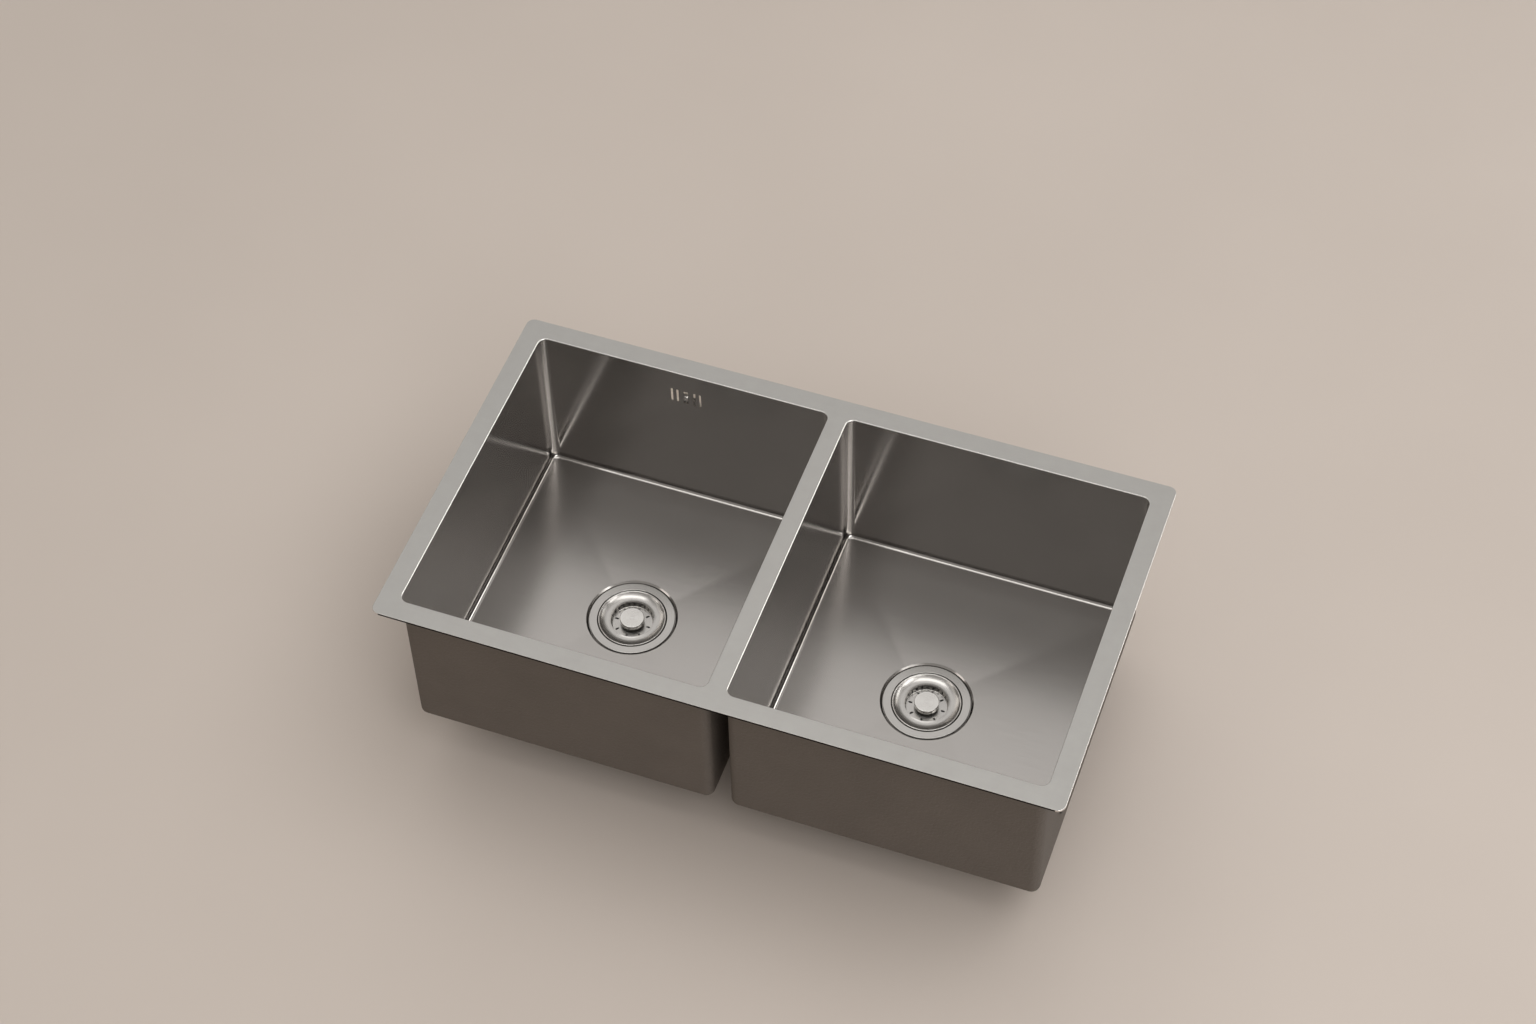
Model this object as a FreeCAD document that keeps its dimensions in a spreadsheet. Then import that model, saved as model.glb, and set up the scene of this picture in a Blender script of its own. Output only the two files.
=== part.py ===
import FreeCAD
import Part
import Sketcher
import math
import os
from types import SimpleNamespace
from FreeCAD import Placement, Rotation, Vector

# Undermount double bowl kitchen sink in brushed stainless steel, in millimetres.
# Origin: centre of the rim's top face, on the divider. +X to the right bowl, +Y to the back
# wall with the overflow slots, +Z up. Everything but the rim's top face is below z = 0.
# Drain pieces are drawn about their own axis, with height 0 at the flange's top face.

SIZES = [
    # rim plate
    ("rim_length", 838, "overall length, left to right (33 in)"),
    ("rim_width", 483, "overall width, front to back (19 in)"),
    ("rim_thick", 3, "plate thickness"),
    ("rim_border", 26, "plate width round the outside of the bowls"),
    ("rim_divider", 24, "plate width between the bowls"),
    ("rim_corner", 10, "radius of the plate's outer corners"),
    ("rim_edge", 0.5, "rounding of the plate's outer top edge"),
    ("rim_rebate", 1.5, "step under each opening's edge that the bowl's sheet is welded into"),
    ("mouth_edge", 1.2, "rounding of the top edge of each opening"),
    # bowls
    ("bowl_depth", 229, "rim top to the floor's outer edge (9 in)"),
    ("bowl_sheet", 1.2, "sheet thickness (18 gauge)"),
    ("bowl_corner", 10, "inner radius of the upright corners"),
    ("floor_round", 6, "inner radius between wall and floor"),
    ("floor_fall", 4.2, "fall of the floor from its edge to the drain"),
    ("fall_half", 42, "half the square that the creases run down to"),
    ("fall_corner", 3, "corner radius of that square"),
    # drains
    ("left_drain_x", -201, "left drain and overflow, from the sink's middle"),
    ("right_drain_x", 187, "right drain, from the sink's middle"),
    ("drain_y", 5, "both drains, behind the middle"),
    ("recess_depth", 3, "pressed seat below the lowest floor"),
    ("recess_seat", 54.6, "radius of the flat seat"),
    ("recess_lip", 57.6, "radius where the seat's wall meets the floor"),
    ("recess_step", 1.6, "upright part of the seat's wall, below its sloping lip"),
    ("recess_overlap", 1, "how far the seat's tool reaches into the hollow over it"),
    ("drain_hole", 45, "radius of the hole in the bowl"),
    ("flange_radius", 54, "strainer flange"),
    ("flange_thick", 1, "strainer flange sheet"),
    ("gasket_thick", 1, "gasket under the flange"),
    ("flange_edge", 0.6, "rounding of the strainer flange's edges"),
    ("throat_radius", 43.8, "mouth of the strainer, round the basket's rim"),
    ("throat_depth", 1.6, "upright part of the throat"),
    ("throat_sheet", 1, "sheet round the throat"),
    ("cup_radius", 43, "threaded outside of the strainer cup"),
    ("cup_wall", 1.4, "strainer cup sheet"),
    ("seat_depth", 26, "stopper seat below the flange's top"),
    ("seat_hole", 19, "radius of the hole that the stopper closes"),
    ("seat_sheet", 2, "strainer's floor with its doubled edge"),
    ("cup_round", 5, "curve between the cup's wall and its floor"),
    ("cup_depth", 32, "foot of the strainer's thread below the flange's top"),
    ("under_gasket_thick", 3, "rubber gasket under the bowl"),
    ("washer_thick", 1.5, "friction washer"),
    ("locknut_height", 12, "locknut"),
    ("locknut_radius", 56, "locknut, without its lugs"),
    ("lug_reach", 4, "locknut lugs beyond the nut"),
    ("lug_width", 10, "locknut lugs"),
    ("housing_radius", 47, "collar of the drain housing"),
    ("collar_gap", 1.3, "collar's top below the locknut"),
    ("collar_rib_width", 8, "grip ribs on the collar"),
    ("collar_rib_rise", 1.5, "grip ribs on the collar"),
    ("housing_seal_thick", 2, "seal between the strainer's foot and the drain housing"),
    ("chamber_radius", 33, "inside of the drain housing"),
    ("plastic_wall", 2.5, "wall of the plastic mouldings"),
    ("outlet_radius", 23.9, "outlet thread, 1 1/2 in"),
    ("outlet_bore", 21, "outlet bore radius"),
    ("outlet_depth", 70, "foot of the outlet below the flange's top"),
    ("inlet_depth", 46, "axis of the overflow inlet below the flange's top"),
    ("inlet_reach", 55, "face of the overflow inlet from the drain's axis"),
    # basket and stopper
    ("basket_radius", 43, "basket rim"),
    ("basket_sheet", 0.8, "basket sheet"),
    ("basket_bead", 1.2, "curve of the basket's rolled rim"),
    ("dish_mouth", 40.6, "outer radius of the basket's dished ring"),
    ("dish_foot", 26.9, "inner radius of the basket's dished ring"),
    ("dish_curve", 16, "radius of the dish's hollow curve"),
    ("dish_drop", 3, "dish's inner edge below the flange's top"),
    ("basket_foot", 25.9, "radius at the foot of the basket's wall"),
    ("basket_floor", 10.2, "basket floor below the flange's top"),
    ("wall_slot", 2.2, "width of the slots in the basket's wall"),
    ("slot_margin", 1.2, "plain wall above and below those slots"),
    ("floor_slot", 2.4, "width of the slots in the basket's floor"),
    ("knob_radius", 15.2, "stopper knob"),
    ("knob_rise", 0.9, "knob's top above the flange's top"),
    ("knob_height", 6.1, "height of the knob's head"),
    ("knob_edge", 0.7, "rounding of the knob's top edge"),
    ("knob_foot_edge", 0.4, "rounding of the edge under the knob"),
    ("post_in_knob", 3, "knob's top over the blind end of its post"),
    ("post_below", 3.5, "post and nut under the seal"),
    ("neck_radius", 8, "neck under the knob"),
    ("post_radius", 3, "stopper post"),
    ("running_gap", 0.05, "radial clearance on the post"),
    ("small_gap", 0.3, "clearance between pieces that only rest together"),
    ("bush_radius", 5, "guide bush in the basket's floor"),
    ("bush_flange", 7, "flange of the guide bush"),
    ("stopper_seal", 24.5, "radius of the rubber seal"),
    ("stopper_thick", 4, "thickness of the rubber seal"),
    ("seal_washer", 18, "radius of the washer over the seal"),
    ("stopper_nut", 6.5, "radius of the nut under the seal"),
    # overflow
    ("overflow_z", -42.5, "middle of the overflow slots"),
    ("slot_width", 3, "overflow slots"),
    ("slot_height", 23, "overflow slots"),
    ("slot_inner", 11.3, "inner pair of slots from the screw"),
    ("slot_outer", 18.6, "outer pair of slots from the screw"),
    ("window_width", 6, "short slots above and below the screw"),
    ("window_height", 4.6, "short slots above and below the screw"),
    ("window_rise", 8.5, "short slots from the screw"),
    ("frame_length", 64, "overflow housing, left to right"),
    ("frame_height", 52, "overflow housing, top to bottom"),
    ("frame_face", 6, "width of the gasket's and the housing's face"),
    ("frame_corner", 6, "corner radius of the gasket and the housing"),
    ("frame_gasket", 2, "thickness of the overflow gasket"),
    ("housing_deep", 21, "overflow housing, front to back"),
    ("screw_radius", 2, "overflow screw shank"),
    ("screw_head", 3.6, "overflow screw head"),
    ("screw_head_high", 1.8, "overflow screw head"),
    ("screw_long", 16, "overflow screw shank"),
    ("screw_boss", 4.5, "post in the housing that the screw bites into"),
    ("drive_length", 4, "arms of the cross in the screw's head"),
    ("drive_width", 0.9, "arms of the cross in the screw's head"),
    ("drive_depth", 0.8, "cross in the screw's head"),
    # overflow hose
    ("hose_gap", 12.5, "hose axis behind the bowl's outer face"),
    ("hose_crest", 9.5, "radius over the ribs"),
    ("hose_valley", 8.2, "radius between the ribs"),
    ("hose_bore", 7, "bore radius"),
    ("hose_pitch", 4, "rib spacing"),
    ("hose_bend", 50, "bend radius on the axis"),
    ("hose_cuff", 12, "plain end of the hose"),
    ("thread_radius", 10.4, "thread of the hose connections"),
    ("thread_long", 12, "length of that thread"),
    ("spigot_radius", 6.9, "spigot inside the hose"),
    ("spigot_bore", 5.4, "bore of the spigot"),
    ("spigot_long", 12, "length of the spigot"),
    ("ring_thick", 1.5, "seal ring at each end of the hose"),
    ("union_radius", 12, "union nut"),
    ("union_over", 10, "union nut over the hose"),
    ("union_grip", 8, "union nut over the thread"),
    ("union_rib", 2.4, "width of the union nut's ribs"),
    # sound pads
    ("pad_thick", 3, "rubber pad"),
    ("pad_height", 110, "pads on the walls"),
    ("pad_top", 60, "upper edge of the wall pads below the rim"),
    ("back_pad", 115, "length of each pad on a back wall"),
    ("back_pad_off", 98, "middle of those pads from the bowl's middle"),
    ("end_pad", 280, "length of the pad on an end wall"),
    ("floor_pad", 170, "length of the pads under a floor"),
    ("floor_pad_deep", 90, "width of the pads under a floor"),
    ("floor_pad_off", 28, "outer edge of the floor pads from the wall"),
]

WALL_SLOTS = 24
FLOOR_SLOTS = 8
LOCKNUT_LUGS = 8
COLLAR_RIBS = 12
UNION_RIBS = 10

document = FreeCAD.newDocument("double_bowl_sink")
node_labels = []


class Size:
    """A length that knows its value and the spreadsheet formula that gives it."""

    def __init__(self, value, formula):
        self.value = value
        self.formula = formula

    def __add__(self, other):
        other = as_size(other)
        return Size(self.value + other.value, f"({self.formula} + {other.formula})")

    def __sub__(self, other):
        other = as_size(other)
        return Size(self.value - other.value, f"({self.formula} - {other.formula})")

    def __mul__(self, other):
        other = as_size(other)
        return Size(self.value * other.value, f"({self.formula} * {other.formula})")

    def __truediv__(self, other):
        other = as_size(other)
        return Size(self.value / other.value, f"({self.formula} / {other.formula})")

    def __neg__(self):
        return Size(-self.value, f"(0 - {self.formula})")


def as_size(number):
    return number if isinstance(number, Size) else Size(number, f"{number:g}")


ON_AXIS = as_size(0)


def fill_sheet():
    """Driving dimensions, one row each: name, value, what it measures."""
    sheet = document.addObject("Spreadsheet::Sheet", "sizes")
    for row, (name, value, meaning) in enumerate(SIZES, start=1):
        sheet.set(f"A{row}", name)
        sheet.set(f"B{row}", f"{value}")
        sheet.setAlias(f"B{row}", name)
        sheet.set(f"C{row}", meaning)
    document.recompute()
    return SimpleNamespace(**{name: Size(value, f"sizes.{name}") for name, value, meaning in SIZES})


S = fill_sheet()

# Sizes that follow from the driving ones
BOWL_LENGTH = (S.rim_length - S.rim_border * 2 - S.rim_divider) / 2
BOWL_WIDTH = S.rim_width - S.rim_border * 2
BOWL_MIDDLE = (S.rim_divider + BOWL_LENGTH) / 2
WALL_OUTSIDE = BOWL_WIDTH / 2 + S.bowl_sheet
SEAT_LEVEL = -(S.bowl_depth + S.floor_fall + S.recess_depth)
FLANGE_TOP = SEAT_LEVEL + S.gasket_thick + S.flange_thick
UNDER_SHEET = -(S.flange_thick + S.gasket_thick + S.bowl_sheet)
UNDER_GASKET = UNDER_SHEET - S.under_gasket_thick
UNDER_WASHER = UNDER_GASKET - S.washer_thick
UNDER_LOCKNUT = UNDER_WASHER - S.locknut_height
SEAL_FOOT = -S.seat_depth + S.small_gap
SEAL_TOP = SEAL_FOOT + S.stopper_thick
WASHER_TOP = SEAL_TOP + 1
POST_HOLE = S.post_radius + S.running_gap
HOSE_Y = WALL_OUTSIDE + S.hose_gap
FRAME_Y = WALL_OUTSIDE + S.frame_gasket
FRAME_FOOT = S.overflow_z - S.frame_height / 2
HOSE_TOP = FRAME_FOOT - S.thread_long - S.ring_thick
INLET_LEVEL = FLANGE_TOP - S.inlet_depth
HOSE_END = S.drain_y + S.inlet_reach + S.ring_thick


# ---------------------------------------------------------------- modelling helpers

def new_body(label):
    body = document.addObject("PartDesign::Body", label)
    body.Label = label
    node_labels.append(label)
    return body


def bind(thing, where, size):
    """Ties one property to the spreadsheet."""
    thing.setExpression(where, size.formula)


def sketch_on(body, plane, name, offset=None):
    """Sketch on one of the body's own origin planes, moved along the plane's normal."""
    sketch = body.newObject("Sketcher::SketchObject", name)
    face = [item for item in body.Origin.OriginFeatures if item.Role == plane][0]
    sketch.AttachmentSupport = [(face, "")]
    sketch.MapMode = "FlatFace"
    if offset is not None:
        bind(sketch, "AttachmentOffset.Base.z", offset)
    return sketch


def pin_point(sketch, line, end, x, y):
    """Fixes one end of a line by its distances from the sketch's origin."""
    for kind, axis, size in (("DistanceX", -2, x), ("DistanceY", -1, y)):
        if size.formula == ON_AXIS.formula:
            sketch.addConstraint(Sketcher.Constraint("PointOnObject", line, end, axis))
        else:
            number = sketch.addConstraint(Sketcher.Constraint(kind, -1, 1, line, end, size.value))
            bind(sketch, f"Constraints[{number}]", size)


def arc_between(start, finish, radius, centre_left):
    """Arc under a half circle between two points, its centre left or right of the way."""
    chord = finish - start
    reach = math.sqrt(radius ** 2 - (chord.Length / 2) ** 2)
    side = Vector(-chord.y, chord.x, 0).normalize() * (reach if centre_left else -reach)
    centre = (start + finish) / 2 + side
    first, last = (start, finish) if centre_left else (finish, start)
    angles = [math.atan2(point.y - centre.y, point.x - centre.x) for point in (first, last)]
    circle = Part.Circle(centre, Vector(0, 0, 1), radius)
    return Part.ArcOfCircle(circle, angles[0], angles[1])


def draw_outline(sketch, corners):
    """Closed outline. A corner is (x, y), or (x, y, radius, "left" or "right") where an arc
    arrives, with its centre on that side of the way round."""
    points = [Vector(corner[0].value, corner[1].value, 0) for corner in corners]
    ends = []
    for index, corner in enumerate(corners):
        start = points[index - 1]
        if len(corner) == 2:
            piece = sketch.addGeometry(Part.LineSegment(start, points[index]))
            ends.append((piece, 1, 2))
            continue
        centre_left = corner[3] == "left"
        piece = sketch.addGeometry(arc_between(start, points[index], corner[2].value, centre_left))
        ends.append((piece, 1, 2) if centre_left else (piece, 2, 1))
        number = sketch.addConstraint(Sketcher.Constraint("Radius", piece, corner[2].value))
        bind(sketch, f"Constraints[{number}]", corner[2])
    for index, (piece, first, last) in enumerate(ends):
        following, following_first, _ = ends[(index + 1) % len(ends)]
        sketch.addConstraint(Sketcher.Constraint("Coincident", piece, last, following, following_first))
        pin_point(sketch, piece, last, corners[index][0], corners[index][1])


def draw_rectangle(sketch, x_low, x_high, y_low, y_high):
    draw_outline(sketch, [(x_low, y_low), (x_high, y_low), (x_high, y_high), (x_low, y_high)])


def draw_rounded(sketch, x_low, x_high, y_low, y_high, radius):
    """Rectangle with round corners, drawn anticlockwise from its lower side."""
    left, right, low, high = x_low.value, x_high.value, y_low.value, y_high.value
    r = radius.value
    sides = [((left + r, low), (right - r, low)), ((right, low + r), (right, high - r)),
             ((right - r, high), (left + r, high)), ((left, high - r), (left, low + r))]
    centres = [(right - r, low + r), (right - r, high - r), (left + r, high - r), (left + r, low + r)]
    first = sketch.GeometryCount
    for quarter, ((start, finish), centre) in enumerate(zip(sides, centres)):
        sketch.addGeometry(Part.LineSegment(Vector(*start, 0), Vector(*finish, 0)))
        turn = math.pi / 2 * quarter
        circle = Part.Circle(Vector(*centre, 0), Vector(0, 0, 1), r)
        sketch.addGeometry(Part.ArcOfCircle(circle, turn - math.pi / 2, turn))
    for quarter, (kind, place) in enumerate([("DistanceY", y_low), ("DistanceX", x_high),
                                             ("DistanceY", y_high), ("DistanceX", x_low)]):
        line = first + 2 * quarter
        arc = line + 1
        following = first + (2 * quarter + 2) % 8
        sketch.addConstraint(Sketcher.Constraint("Tangent", line, 2, arc, 1))
        sketch.addConstraint(Sketcher.Constraint("Tangent", arc, 2, following, 1))
        straight = "Horizontal" if kind == "DistanceY" else "Vertical"
        sketch.addConstraint(Sketcher.Constraint(straight, line))
        number = sketch.addConstraint(Sketcher.Constraint(kind, -1, 1, line, 1, place.value))
        bind(sketch, f"Constraints[{number}]", place)
        number = sketch.addConstraint(Sketcher.Constraint("Radius", arc, r))
        bind(sketch, f"Constraints[{number}]", radius)


def draw_circle(sketch, x, y, radius):
    circle = Part.Circle(Vector(x.value, y.value, 0), Vector(0, 0, 1), radius.value)
    piece = sketch.addGeometry(circle)
    number = sketch.addConstraint(Sketcher.Constraint("Radius", piece, radius.value))
    bind(sketch, f"Constraints[{number}]", radius)
    pin_point(sketch, piece, 3, x, y)


def extrude(body, kind, sketch, length, turned=False, both_ways=False):
    """Pad or Pocket of a sketch; turned swaps its direction."""
    feature = body.newObject(f"PartDesign::{kind}", f"{sketch.Name}_{kind.lower()}")
    feature.Profile = sketch
    bind(feature, "Length", length)
    feature.Reversed = turned
    feature.Midplane = both_ways
    body.Tip = feature
    return feature


def spin(body, kind, sketch):
    """Revolution or Groove about the sketch's upright axis."""
    feature = body.newObject(f"PartDesign::{kind}", f"{sketch.Name}_{kind.lower()}")
    feature.Profile = sketch
    feature.ReferenceAxis = (sketch, ["V_Axis"])
    feature.Angle = 360
    body.Tip = feature
    return feature


def repeat_round(body, feature, count, name):
    """Polar pattern of one feature about the body's Z axis."""
    pattern = body.newObject("PartDesign::PolarPattern", name)
    pattern.Originals = [feature]
    axis = [item for item in body.Origin.OriginFeatures if item.Role == "Z_Axis"][0]
    pattern.Axis = (axis, [""])
    pattern.Angle = 360
    pattern.Occurrences = count
    body.Tip = pattern
    return pattern


def edges_at(feature, level):
    """Names of the edges that lie in one level plane."""
    names = []
    for number, edge in enumerate(feature.Shape.Edges, start=1):
        box = edge.BoundBox
        if abs(box.ZMin - level) < 0.01 and abs(box.ZMax - level) < 0.01:
            names.append(f"Edge{number}")
    return names


def round_edges(body, base, names, radius, name):
    fillet = body.newObject("PartDesign::Fillet", name)
    fillet.Base = (base, names)
    bind(fillet, "Radius", radius)
    body.Tip = fillet
    return fillet


def place(body, x, y, z):
    for axis, size in (("x", x), ("y", y), ("z", z)):
        bind(body, f"Placement.Base.{axis}", size)


def turned_piece(label, outline):
    """Piece turned about Z from its half section, given as (radius, height) corners."""
    body = new_body(label)
    sketch = sketch_on(body, "XZ_Plane", f"{label}_section")
    draw_outline(sketch, outline)
    spin(body, "Revolution", sketch)
    return body


def flat_ring(label, inner, outer, low, high):
    return turned_piece(label, [(inner, low), (outer, low), (outer, high), (inner, high)])


def at_drain(body, drain_x):
    place(body, drain_x, S.drain_y, FLANGE_TOP)
    return body


# ---------------------------------------------------------------- rim and bowls

def bowl_edges(side):
    """Inner faces of one bowl: low x, high x, low y, high y. side is -1 left, 1 right."""
    low = BOWL_MIDDLE * side - BOWL_LENGTH / 2
    return low, low + BOWL_LENGTH, -(BOWL_WIDTH / 2), BOWL_WIDTH / 2


def make_rim_plate():
    """Flat plate with two openings, flush with the bowls' inner faces, and a step round the
    underside of each that takes the top of the bowl's sheet."""
    body = new_body("rim_plate")
    outline = sketch_on(body, "XY_Plane", "rim_outline", -S.rim_thick)
    draw_rounded(outline, -(S.rim_length / 2), S.rim_length / 2, -(S.rim_width / 2),
                 S.rim_width / 2, S.rim_corner)
    plate = extrude(body, "Pad", outline, S.rim_thick)
    document.recompute()
    plate = round_edges(body, plate, edges_at(plate, 0), S.rim_edge, "rim_edge_round")
    mouths = sketch_on(body, "XY_Plane", "rim_mouths")
    for side in (-1, 1):
        draw_rounded(mouths, *bowl_edges(side), S.bowl_corner)
    holes = extrude(body, "Pocket", mouths, S.rim_thick)
    document.recompute()
    inside = [name for name in edges_at(holes, 0) if edge_in_mouth(holes, name)]
    rounded = round_edges(body, holes, inside, S.mouth_edge, "mouth_edge_round")
    document.recompute()
    before = rounded.Shape.Volume
    rebates = sketch_on(body, "XY_Plane", "rim_rebates", S.rim_rebate - S.rim_thick)
    for side in (-1, 1):
        x_low, x_high, y_low, y_high = bowl_edges(side)
        draw_rounded(rebates, x_low - S.bowl_sheet, x_high + S.bowl_sheet, y_low - S.bowl_sheet,
                     y_high + S.bowl_sheet, S.bowl_corner + S.bowl_sheet)
    extrude(body, "Pocket", rebates, S.rim_rebate)
    document.recompute()
    assert body.Tip.Shape.Volume < before - 1000, "the rebates cut nothing"


def edge_in_mouth(feature, name):
    """True for an edge of one of the two openings."""
    middle = feature.Shape.getElement(name).BoundBox.Center
    reach = S.rim_border.value - S.bowl_corner.value
    return (abs(middle.x) < S.rim_length.value / 2 - reach
            and abs(middle.y) < S.rim_width.value / 2 - reach)


def bowl_block(name, side, drain_x, top, grow):
    """Solid with the bowl's inner form, grown by a sheet for its outer form: straight walls,
    the floor's fall to the drain as a loft, the round between them and the drain's seat."""
    body = document.addObject("PartDesign::Body", name)
    x_low, x_high, y_low, y_high = bowl_edges(side)
    x_low, x_high, y_low, y_high = x_low - grow, x_high + grow, y_low - grow, y_high + grow
    corner = S.bowl_corner + grow
    depth = S.bowl_depth + grow
    mouth = sketch_on(body, "XY_Plane", f"{name}_mouth", top)
    draw_rounded(mouth, x_low, x_high, y_low, y_high, corner)
    extrude(body, "Pad", mouth, depth + top, turned=True)
    edge = sketch_on(body, "XY_Plane", f"{name}_edge", -depth)
    draw_rounded(edge, x_low, x_high, y_low, y_high, corner)
    foot = sketch_on(body, "XY_Plane", f"{name}_foot", -(depth + S.floor_fall))
    draw_rounded(foot, drain_x - S.fall_half, drain_x + S.fall_half,
                 S.drain_y - S.fall_half, S.drain_y + S.fall_half, S.fall_corner)
    fall = body.newObject("PartDesign::AdditiveLoft", f"{name}_fall")
    fall.Profile = edge
    fall.Sections = [foot]
    fall.Ruled = True
    body.Tip = fall
    document.recompute()
    round_edges(body, fall, edges_at(fall, -depth.value), S.floor_round + grow, f"{name}_round")
    step = sketch_on(body, "XZ_Plane", f"{name}_step", -S.drain_y)
    draw_drain_step(step, drain_x, SEAT_LEVEL - grow, grow)
    revolution = body.newObject("PartDesign::Revolution", f"{name}_seat")
    revolution.Profile = step
    revolution.ReferenceAxis = (step, ["Axis0"])
    revolution.Angle = 360
    body.Tip = revolution
    return body


def draw_drain_step(sketch, drain_x, seat, grow):
    """Half section of the drain's seat, a small rise and a sloping lip, about the drain."""
    lip = S.recess_lip + grow
    floor = seat + S.recess_depth + 0.1
    inside = floor + S.recess_overlap
    draw_outline(sketch, [
        (drain_x, seat),
        (drain_x + S.recess_seat + grow / 2, seat),
        (drain_x + S.recess_seat + 1 + grow, seat + S.recess_step),
        (drain_x + lip, floor),
        (drain_x + lip, inside),
        (drain_x, inside)])
    axis = sketch.addGeometry(Part.LineSegment(Vector(drain_x.value, 0, 0),
                                               Vector(drain_x.value, 10, 0)), True)
    pin_point(sketch, axis, 1, drain_x, ON_AXIS)
    pin_point(sketch, axis, 2, drain_x, as_size(10))


def make_bowl(label, side, drain_x, with_overflow):
    """One pressed bowl: its outer form less the hollow, the drain hole and any overflow."""
    form = bowl_block(f"{label}_form", side, drain_x, S.rim_rebate - S.rim_thick, S.bowl_sheet)
    hollow = bowl_block(f"{label}_hollow", side, drain_x, as_size(5), as_size(0))
    hole = sketch_on(hollow, "XY_Plane", f"{label}_hole", SEAT_LEVEL + 1)
    draw_circle(hole, drain_x, S.drain_y, S.drain_hole)
    extrude(hollow, "Pad", hole, S.bowl_sheet + 4, turned=True)
    if with_overflow:
        add_overflow_holes(hollow)
    bowl = document.addObject("Part::Cut", label)
    bowl.Label = label
    bowl.Base = form
    bowl.Tool = hollow
    node_labels.append(label)


def add_overflow_holes(hollow):
    """Four upright slots and a column of two short ones with a screw hole between."""
    holes = sketch_on(hollow, "XZ_Plane", "overflow_holes", -(BOWL_WIDTH / 2 - 5))
    middle = S.left_drain_x
    for off in (-S.slot_outer, -S.slot_inner, S.slot_inner, S.slot_outer):
        x = middle + off
        draw_rounded(holes, x - S.slot_width / 2, x + S.slot_width / 2,
                     S.overflow_z - S.slot_height / 2, S.overflow_z + S.slot_height / 2,
                     S.slot_width / 2 - 0.1)
    for rise in (-S.window_rise, S.window_rise):
        z = S.overflow_z + rise
        draw_rounded(holes, middle - S.window_width / 2, middle + S.window_width / 2,
                     z - S.window_height / 2, z + S.window_height / 2, as_size(1.2))
    draw_circle(holes, middle, S.overflow_z, S.screw_radius + 0.2)
    extrude(hollow, "Pad", holes, as_size(10), turned=True)


# ---------------------------------------------------------------- strainer, fixed pieces

def make_strainer_body(side, drain_x):
    """Pressed steel cup with a broad flange, a ledge for the basket and the stopper's seat."""
    inner = S.cup_radius - S.cup_wall
    body = turned_piece(f"{side}_strainer_body", [
        (S.flange_radius, -S.flange_thick),
        (S.flange_radius, -S.flange_thick + 0.5),
        (S.flange_radius - S.flange_edge, ON_AXIS, S.flange_edge, "left"),
        (S.throat_radius + S.flange_edge, ON_AXIS),
        (S.throat_radius, -S.flange_edge, S.flange_edge, "left"),
        (S.throat_radius, -S.throat_depth),
        (inner, -S.throat_depth - S.flange_edge),
        (inner, -S.seat_depth + S.cup_round),
        (inner - 4, -S.seat_depth + 0.8, S.cup_round, "right"),
        (S.stopper_seal + 1.5, -S.seat_depth),
        (S.seat_hole, -S.seat_depth),
        (S.seat_hole, -S.seat_depth - S.seat_sheet),
        (inner - 1.6, -S.seat_depth - S.seat_sheet),
        (inner - 1.6, -S.cup_depth),
        (S.cup_radius, -S.cup_depth),
        (S.cup_radius, UNDER_SHEET),
        (S.throat_radius + S.throat_sheet, UNDER_SHEET + S.flange_edge),
        (S.throat_radius + S.throat_sheet, -S.flange_thick),
    ])
    at_drain(body, drain_x)


def make_locknut(side, drain_x):
    """Large nut under the bowl, with lugs for the spanner."""
    body = flat_ring(f"{side}_locknut", S.cup_radius, S.locknut_radius, UNDER_LOCKNUT, UNDER_WASHER)
    lug = sketch_on(body, "XY_Plane", f"{side}_locknut_lug", UNDER_LOCKNUT)
    draw_rectangle(lug, S.locknut_radius - 1, S.locknut_radius + S.lug_reach,
                   -(S.lug_width / 2), S.lug_width / 2)
    rib = extrude(body, "Pad", lug, S.locknut_height)
    document.recompute()
    repeat_round(body, rib, LOCKNUT_LUGS, f"{side}_locknut_lugs")
    at_drain(body, drain_x)


def make_drain_housing(side, drain_x, with_inlet):
    """Plastic funnel under the strainer, with the outlet thread and, on the left, the inlet
    for the overflow hose."""
    wall = S.plastic_wall
    top = UNDER_LOCKNUT - S.collar_gap
    ledge = -S.cup_depth - S.housing_seal_thick
    body = turned_piece(f"{side}_drain_housing", [
        (S.cup_radius, top),
        (S.cup_radius, ledge),
        (S.cup_radius - 3.2, ledge),
        (S.chamber_radius, ledge - 6),
        (S.chamber_radius, -S.inlet_depth - 6),
        (S.outlet_bore, -S.inlet_depth - 10),
        (S.outlet_bore, -S.outlet_depth),
        (S.outlet_radius, -S.outlet_depth),
        (S.outlet_radius, -S.inlet_depth - 12),
        (S.chamber_radius + wall, -S.inlet_depth - 7.5),
        (S.chamber_radius + wall, ledge - 7),
        (S.housing_radius - 4.5, ledge - 1),
        (S.housing_radius, ledge + 1),
        (S.housing_radius, top),
    ])
    grip = sketch_on(body, "XY_Plane", f"{side}_collar_rib", ledge + 1)
    draw_rectangle(grip, S.housing_radius - 1, S.housing_radius + S.collar_rib_rise,
                   -(S.collar_rib_width / 2), S.collar_rib_width / 2)
    rib = extrude(body, "Pad", grip, top - ledge - 2)
    document.recompute()
    repeat_round(body, rib, COLLAR_RIBS, f"{side}_collar_ribs")
    if with_inlet:
        add_inlet(body)
    at_drain(body, drain_x)


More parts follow.
